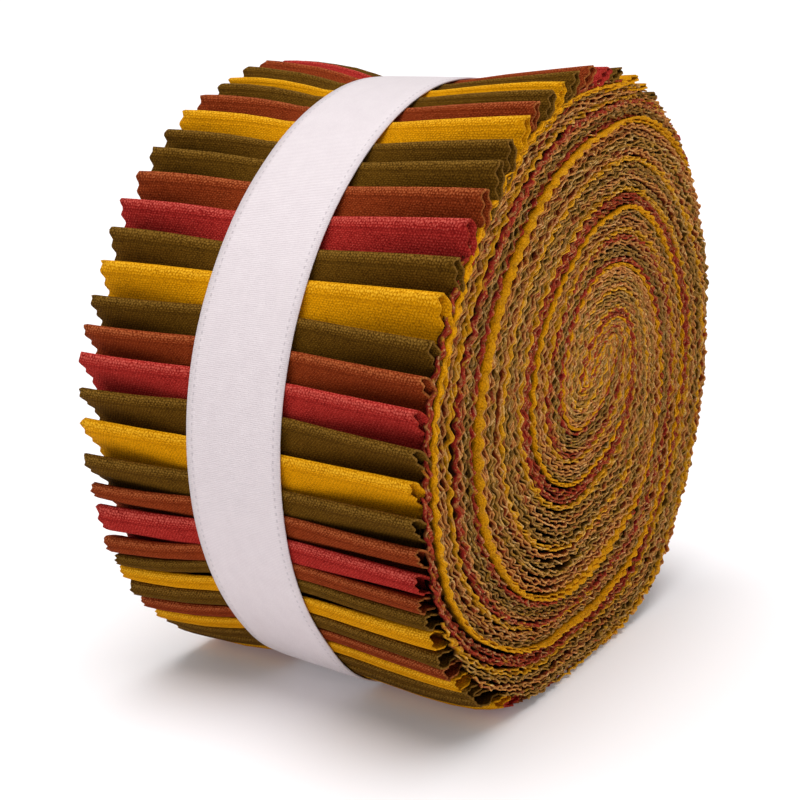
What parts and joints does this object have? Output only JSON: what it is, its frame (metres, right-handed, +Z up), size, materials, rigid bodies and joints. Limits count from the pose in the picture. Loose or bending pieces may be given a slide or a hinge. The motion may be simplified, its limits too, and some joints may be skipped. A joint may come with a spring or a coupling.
{
  "type": "folded fabric strip roll",
  "caption": "Wound pack of folded cotton strips with pinked edges, folds shingled round the outside, bound round its waist with a plain satin ribbon.",
  "frame": {"origin": "middle of the box round the whole roll, at its underside, on the surface it rests on", "axes": "+X along the roll's axis towards the end face that shows in the picture, +Y away from the camera across the roll, +Z up"},
  "size_m": [0.0674, 0.1106, 0.1031],
  "materials": {
    "strip_roll": "plain woven cotton",
    "ribbon_band": "satin ribbon"
  },
  "bodies": {
    "root": {"strip_roll": "strip_roll", "ribbon_band": "ribbon_band"}
  },
  "joints": []
}
